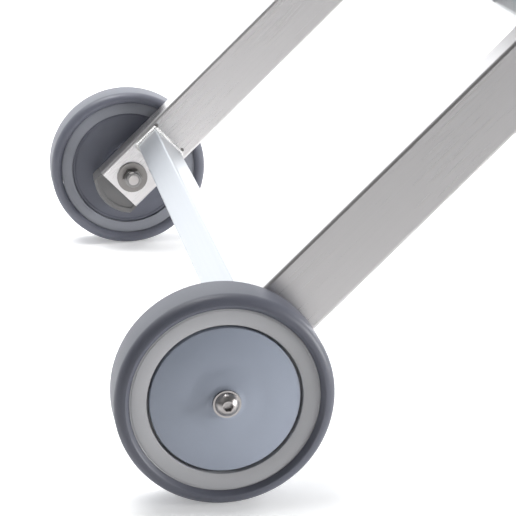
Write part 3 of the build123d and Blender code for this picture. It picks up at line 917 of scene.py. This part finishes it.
# %% Bag cloth
felt_thickness = 3.4
outer_skin = bag.copy()
outer_skin.data = bag.data.copy()
bpy.context.scene.collection.objects.link(outer_skin)
work_on(bag)
solidify(bag, felt_thickness, -1)
bpy.ops.object.modifier_add(type="SUBSURF")
bag.modifiers["Subdivision"].levels = 1
bag.modifiers["Subdivision"].render_levels = 1
bpy.ops.object.modifier_apply(modifier="Subdivision")
bpy.ops.object.shade_smooth()
bag_panels = ("bag_base", "bag_back", "bag_front", *pair("bag_side"))
fit(bag, bag_felt, "frame", "bag_felt", *bag_panels)

# %% [markdown]
# ## Piping, stitches and the hem
#
# Seams make a sewn thing believable. A round piping runs down the four corners and round the
# base, with a row of stitches beside it, and a wide hem with two rows goes round the rim. Each
# line is found on the hanging cloth itself: a ray is sent at the bag and the line lies where it
# lands, lifted by a part of the cord's or the thread's thickness.

# %% Lines on the cloth
corner_reach, far_out = 40.0, 400


def land(r, n, y, heading, lift):
    """Where a ray from (r, n, y) meets the bag, lifted off the cloth by so many mm."""
    hit, place, normal, _ = outer_skin.ray_cast(on_frame(r, n, y), heading)
    if not hit:
        raise RuntimeError(f"no cloth at {r}, {n}, {y}")
    side = 1 if normal.dot(heading) < 0 else -1
    return place + normal * side * lift * MM


def ring_on_bag(r, lift, steps=96):
    """A closed line round the bag at one height."""
    centre_n = sum(bag_n) / 2
    line = []
    for number in range(steps):
        turn = 2 * math.pi * (number + 0.5) / steps
        y, n = far_out * math.cos(turn), centre_n + far_out * math.sin(turn)
        heading = (upward * (centre_n - n) + Vector((0, -y, 0))).normalized()
        line.append(land(r, n, y, heading, lift))
    return line


def upright(n, y, heading, lift, low=bag_r[0] + 12, high=bag_r[1] - 4, steps=40):
    """An upright line on the bag, where rays that start at (n, y) land."""
    places = [low + (high - low) * number / steps for number in range(steps + 1)]
    return [land(r, n, y, heading, lift) for r in places]


def upright_on_bag(y, n_side, lift, *run):
    """An upright line on the front (n_side 1) or back (-1) at one distance across."""
    start_n = sum(bag_n) / 2 + far_out * n_side
    return upright(start_n, y, -upward * n_side, lift, *run)


def corner_on_bag(y_side, n_side, lift):
    """An upright line on one of the four rounded corners, found from outside at 45 degrees."""
    heading = (Vector((0, -y_side, 0)) - upward * n_side).normalized()
    n_edge = bag_n[1] if n_side > 0 else bag_n[0]
    start_y = y_side * (bag_half + corner_reach)
    return upright(n_edge + n_side * corner_reach, start_y, heading, lift)


print("front of the bag lands at", to_frame(land(500, far_out, 0, -upward, 0))[1])

# %% Cords and stitches
stitch_size, stitch_pitch = (0.0021, 0.0005, 0.0005), 0.0056


def tube(name, points, radius, closed=False):
    """A round cord through points: a traced wire made a curve, given thickness, made a mesh."""
    piece = trace(name, points)
    if closed:
        close_wire()
    bpy.ops.object.mode_set(mode="OBJECT")
    work_on(piece)
    bpy.ops.object.convert(target="CURVE")
    piece = bpy.context.object
    piece.data.bevel_depth = radius * MM
    piece.data.bevel_resolution = 2
    piece.data.use_fill_caps = True
    bpy.ops.object.convert(target="MESH")
    piece = bpy.context.object
    bpy.ops.object.mode_set(mode="EDIT")
    return tidy_mesh(piece, 60.0)


def stitch_row(name, points, body="frame", slot="bag_felt", closed=False):
    """A row of thread stitches along a line, on the body that it is sewn to."""
    shape = bead("stitch", stitch_size, 6, 5)
    fit(row_of(name, shape, walk(points, stitch_pitch, closed)), thread, body, slot)


print("stitches every", stitch_pitch / MM, "mm")

# %% Seams
piping_radius, seam_y = 1.7, bag_half - 18.5
for side, sign in (("left", -1), ("right", 1)):
    for face, n_side in (("front", 1), ("back", -1)):
        line = corner_on_bag(sign, n_side, 0.5)
        piece = tube(f"piping_{face}_{side}", line, piping_radius)
        fit(piece, binding, "frame", "bag_felt")
        stitch_row(f"stitches_{face}_{side}", upright_on_bag(sign * seam_y, n_side, 0.25))
piece = tube("piping_base", ring_on_bag(bag_r[0] + 11, 0.5), piping_radius, closed=True)
fit(piece, binding, "frame", "bag_felt")
for number, r in enumerate((bag_r[0] + 21, bag_r[1] - 42, bag_r[1] - 47)):
    stitch_row(f"stitches_round_{number + 1}", ring_on_bag(r, 0.25, 128), closed=True)

# %% [markdown]
# ## The lid flap
#
# The lid is a stiff felt flap: its side outline is traced, the fold at the front is rounded, and
# the outline is extruded across the bag in steps. The middle is raised a little, so that rain
# runs off, and the whole edge is bound with tape.

# %% Lid flap
lid_half = 233.6
lid_back_n, lid_lip_n = 22.8, 227.6
lid_r, lid_lip_low_r = 802.3, 771.2
lid_crown, crown_start, crown_margin = 5.0, 45, 60


def flat_place(r, n, y=0.0):
    """A point for a piece that is modelled flat and stood up afterwards, in mm."""
    return Vector((r, y, n)) * MM


def sweep_across(name, outline, half, steps, corners=()):
    """Trace an (r, n) outline at one side and extrude it across, ready in edit mode."""
    piece = trace(name, [flat_place(r, n, -half) for r, n in outline])
    round_corners(piece, [(flat_place(r, n, -half), radius * MM) for r, n, radius in corners])
    bpy.ops.mesh.select_all(action="SELECT")
    for _ in range(steps):
        move = {"value": (0, 2 * half * MM / steps, 0)}
        bpy.ops.mesh.extrude_region_move(TRANSFORM_OT_translate=move)
    return piece


def thicken(piece, thickness):
    """Solidify a sheet and soften its edges."""
    tidy_mesh(piece)
    solidify(piece, thickness)
    soften(piece, thickness * 0.3 * MM, 50)


panel_steps = 24
panel_run = lid_lip_n - lid_back_n
lid_outline = [(lid_r, lid_back_n + panel_run * step / panel_steps) for step in range(panel_steps)]
lid_outline += [(lid_r, lid_lip_n), (lid_r - 16, lid_lip_n), (lid_lip_low_r, lid_lip_n)]
lid = sweep_across("lid_flap", lid_outline, lid_half, 30, [(lid_r, lid_lip_n, 7.0)])
bpy.ops.object.mode_set(mode="OBJECT")
for vertex in lid.data.vertices:
    share = (vertex.co.z / MM - crown_start) / (lid_lip_n - crown_margin)
    if vertex.co.x / MM > lid_r - 0.5 and 0 < share < 1:
        across = 1 - (vertex.co.y / MM / lid_half) ** 2
        vertex.co.x += lid_crown * MM * across * math.sin(math.pi * share) ** 1.5
bpy.ops.object.mode_set(mode="EDIT")
thicken(lid, felt_thickness)
stand_up(lid)
fit(lid, lid_felt, "lid", "bag_felt", "bag_lid")

# %% Lid edge and stitches
binding_radius, fold, seam_in, seam_lift = 2.25, 5, 9.0, 1.8
near_fold = fold * 0.32
edge_line = [
    (lid_r, lid_back_n), (lid_r, lid_lip_n - fold), (lid_r - near_fold, lid_lip_n - near_fold),
    (lid_r - fold, lid_lip_n), (lid_lip_low_r, lid_lip_n),
]
lid_edge = [on_frame(lid_r, lid_back_n, -lid_half)]
lid_edge += [on_frame(r, n, lid_half) for r, n in edge_line]
lid_edge += [on_frame(r, n, -lid_half) for r, n in edge_line[:0:-1]]
piece = tube("lid_binding", lid_edge, binding_radius, closed=True)
fit(piece, binding, "lid", "bag_felt")
stitch_y = lid_half - seam_in
lip_row = [on_frame(lid_lip_low_r + 6, lid_lip_n + seam_lift, y) for y in (-stitch_y, stitch_y)]
stitch_row("stitches_lid_lip", lip_row, "lid")
for side, sign in (("left", -1), ("right", 1)):
    ends = (lid_back_n + 6, lid_lip_n - seam_in)
    line = [on_frame(lid_r + seam_lift, n, sign * stitch_y) for n in ends]
    stitch_row(f"stitches_lid_{side}", line, "lid")

# %% [markdown]
# ## The hinge tape
#
# A strip of webbing joins the bag's back to the lid. It rides on no body of the trolley.

# %% Hinge tape
tape_half, tape_low_r, tape_pitch = 205.0, 772, 5
back_skin_n, lid_skin_r = 19.6, 804.9
tape_outline = [(tape_low_r + tape_pitch * step, back_skin_n) for step in range(6)]
tape_outline += [(801.0, back_skin_n), (803.6, back_skin_n + 0.6), (lid_skin_r, back_skin_n + 2.6)]
tape_outline += [(lid_skin_r, 25.5 + 4 * step) for step in range(5)]
tape = sweep_across("hinge_tape", tape_outline, tape_half, 12)
thicken(tape, 1.1)
stand_up(tape)
tape.data.materials.append(webbing)
on_frame(799.5, 20.6)
on_frame(805.5, 26.6)
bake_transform(tape)

# %% [markdown]
# ## Straps and buckle
#
# Two webbing loops tie the bag to the upper crossbar. A third strap lies down the front of the
# bag, on the real shape of the hanging cloth, and ends under the buckle of the lid.

# %% Webbing loops
loop_half, loop_low, loop_high, loop_edge_y, loop_width = 11.3, -16.3, 19.2, loop_y + 12.5, 25
upper_r = bar_places["upper"]
loop_outline = [
    (upper_r - loop_half, loop_high), (upper_r - loop_half, loop_low),
    (upper_r + loop_half, loop_low), (upper_r + loop_half, loop_high),
]
loop = trace("strap_loop_left", [flat_place(r, n, -loop_edge_y) for r, n in loop_outline])
close_wire()
round_corners(loop, [(flat_place(r, n, -loop_edge_y), 3 * MM) for r, n in loop_outline])
bpy.ops.mesh.select_all(action="SELECT")
bpy.ops.mesh.extrude_region_move(TRANSFORM_OT_translate={"value": (0, loop_width * MM, 0)})
thicken(loop, 1.6)
stand_up(loop)
fit_pair(loop, webbing, "frame", "webbing", "bag_strap")

# %% Front strap
strap_half = 12.5
strap_low, strap_high = 341.0, 767.0
strap_line = upright_on_bag(0, 1, 1.1, strap_low, strap_high, 48)
strap_start = [point + Vector((0, -strap_half * MM, 0)) for point in strap_line]
strap = trace("front_strap_webbing", strap_start)
bpy.ops.mesh.select_all(action="SELECT")
for _ in range(2):
    move = {"value": (0, strap_half * MM, 0)}
    bpy.ops.mesh.extrude_region_move(TRANSFORM_OT_translate=move)
thicken(strap, 1.6)
fit(strap, webbing, "frame", "webbing", "front_strap")
for side, sign in (("left", -1), ("right", 1)):
    line = upright_on_bag(sign * 9.5, 1, 2.0, strap_low + 3, strap_high - 24)
    stitch_row(f"stitches_strap_{side}", line, slot="webbing")
bpy.data.objects.remove(outer_skin)

# %% Buckle
buckle_plastic = moulded("buckle_plastic", (0.035, 0.036, 0.040), 0.38, 0.0005, 0.00003, 0.2)
buckle_middle, buckle_n = 771.3, 233.9
buckle_half_r, buckle_half_y, buckle_half_n = 28.0, 17.0, 3.9
bpy.ops.object.select_all(action="DESELECT")
buckle_place = flat_place(buckle_middle, buckle_n)
buckle_size = flat_place(buckle_half_r, buckle_half_n, buckle_half_y)
bpy.ops.mesh.primitive_cube_add(size=2, location=buckle_place, scale=buckle_size)
buckle = bpy.context.object
buckle.name = "lid_buckle_moulding"
bpy.ops.object.transform_apply()
bpy.ops.object.mode_set(mode="EDIT")


def stands_upright(edge):
    start, end = (buckle.data.vertices[index].co for index in edge.vertices)
    return abs(start.z - end.z) > 1e-4


select_where(buckle, stands_upright, "edges")
bpy.ops.mesh.bevel(offset=0.005, segments=5)
slot_half_y = 13.0
bands = ((-21.0, -15.5, -0.0062), (15.5, 21.0, -0.0062), (-10.0, 10.0, -0.0011))
edges_r = [buckle_middle + value for low, high, _ in bands for value in (low, high)]
cut_grid((1, 0, 0), [value * MM for value in sorted(edges_r)])
cut_grid((0, 1, 0), [-slot_half_y * MM, slot_half_y * MM])
for low, high, drop in bands:
    def in_band(face):
        r = face.center.x / MM - buckle_middle
        return face.normal.z > 0.9 and low < r < high and abs(face.center.y) < slot_half_y * MM

    select_where(buckle, in_band, "polygons")
    bpy.ops.mesh.inset(thickness=0.0007)
    bpy.ops.mesh.extrude_region_move(TRANSFORM_OT_translate={"value": (0, 0, drop)})
ridge_pitch, ridge_half = 2.4, 0.6
for number in range(-3, 4):
    ridge = buckle_middle + number * ridge_pitch
    cut_grid((1, 0, 0), [(ridge - ridge_half) * MM, (ridge + ridge_half) * MM])


def on_ridge(face):
    r = face.center.x / MM - buckle_middle
    near = abs(r - ridge_pitch * round(r / ridge_pitch)) < 0.5 and abs(r) < 8
    return face.normal.z > 0.9 and near and abs(face.center.y) < 12 * MM


select_where(buckle, on_ridge, "polygons")
bpy.ops.mesh.extrude_region_move(TRANSFORM_OT_translate={"value": (0, 0, 0.0008)})
tidy_mesh(buckle)
soften(buckle, 0.0003, 40)
stand_up(buckle)
fit(buckle, buckle_plastic, "lid", "buckle_plastic", "lid_buckle")

# %% [markdown]
# ## Floor, lights and sky
#
# A product is photographed on a white sweep. The floor is plain and pale, and round the trolley
# it carries a painted pool of light: it glows there though it is no lamp, fading with distance.
# A large soft light hangs above and behind the trolley, so that tops shine and sides stay grey.

# %% Floor
bpy.ops.object.select_all(action="DESELECT")
bpy.ops.mesh.primitive_plane_add(size=10, location=(0, 0, 0))
floor = bpy.context.object
floor.name = "floor"
floor_paint = Finish("floor_paint")
floor_clouds = floor_paint.noise(floor_paint.place(), 3.0)
floor_colour = floor_paint.mix(floor_clouds, (0.90, 0.90, 0.90), (0.92, 0.92, 0.92))
# A pool of painted light: the floor glows round the trolley and fades further away.
pool_middle, pool_inner, pool_outer, painted_pool_strength = (-0.1, 0.6, 0), 0.9, 1.4, 0.27
sockets = {0: floor_paint.place(), 1: pool_middle}
away = floor_paint.node("ShaderNodeVectorMath", {"operation": "DISTANCE"}, sockets, "Value")
sockets = {"Value": away, "From Min": pool_outer, "From Max": pool_inner, "To Max": painted_pool_strength}
painted_light_pool = floor_paint.node("ShaderNodeMapRange", {}, sockets)
constants = {"Emission_Color": painted_light_pool, "Emission_Strength": 1.0}
matt = 0.85 + floor_clouds * 0.05
paint = floor_paint.surface(floor_colour, matt, floor_clouds, 0.0001, **constants)
floor.data.materials.append(paint)
print("floor laid")


# %% Lights
def soft_light(name, place, target, size, power):
    """A square area light that looks at a target."""
    bpy.ops.object.light_add(type="AREA", location=place)
    light = bpy.context.object
    light.name = name
    light.data.shape = "SQUARE"
    light.data.size = size
    light.data.energy = power
    light.rotation_euler = (Vector(place) - Vector(target)).to_track_quat("Z", "Y").to_euler()
    return light


ceiling = soft_light("ceiling_light", (-0.6, 0.7, 1.6), (-0.3, 0.65, 0), 1.8, 11.5)
ceiling.data.spread = math.radians(48)
soft_light("right_light", (1.6, 1.1, 0.9), (-0.2, 0.1, 0), 1.2, 26)
soft_light("side_light", (1.3, -0.85, 0.32), (-0.3, -0.25, 0.06), 0.6, 23)
soft_light("left_light", (-1.5, -0.9, 1.25), (-0.3, -0.1, 0.1), 1.2, 1.2)

world = bpy.data.worlds.new("studio")
bpy.context.scene.world = world
world.use_nodes = True
sky = world.node_tree
background = sky.nodes["Background"]
background.inputs["Color"].default_value = (0.96, 0.98, 1.0, 1)
direction = sky.nodes.new("ShaderNodeTexCoord")
parts = sky.nodes.new("ShaderNodeSeparateXYZ")
fade = sky.nodes.new("ShaderNodeMapRange")
for name, value in {"From Min": 0.1, "From Max": 0.9, "To Min": 0.14, "To Max": 2.1}.items():
    fade.inputs[name].default_value = value
sky.links.new(direction.outputs["Generated"], parts.inputs["Vector"])
sky.links.new(parts.outputs["Y"], fade.inputs["Value"])
sky.links.new(fade.outputs["Result"], background.inputs["Strength"])
bpy.context.scene.view_settings.view_transform = "Standard"
print("stage ready")
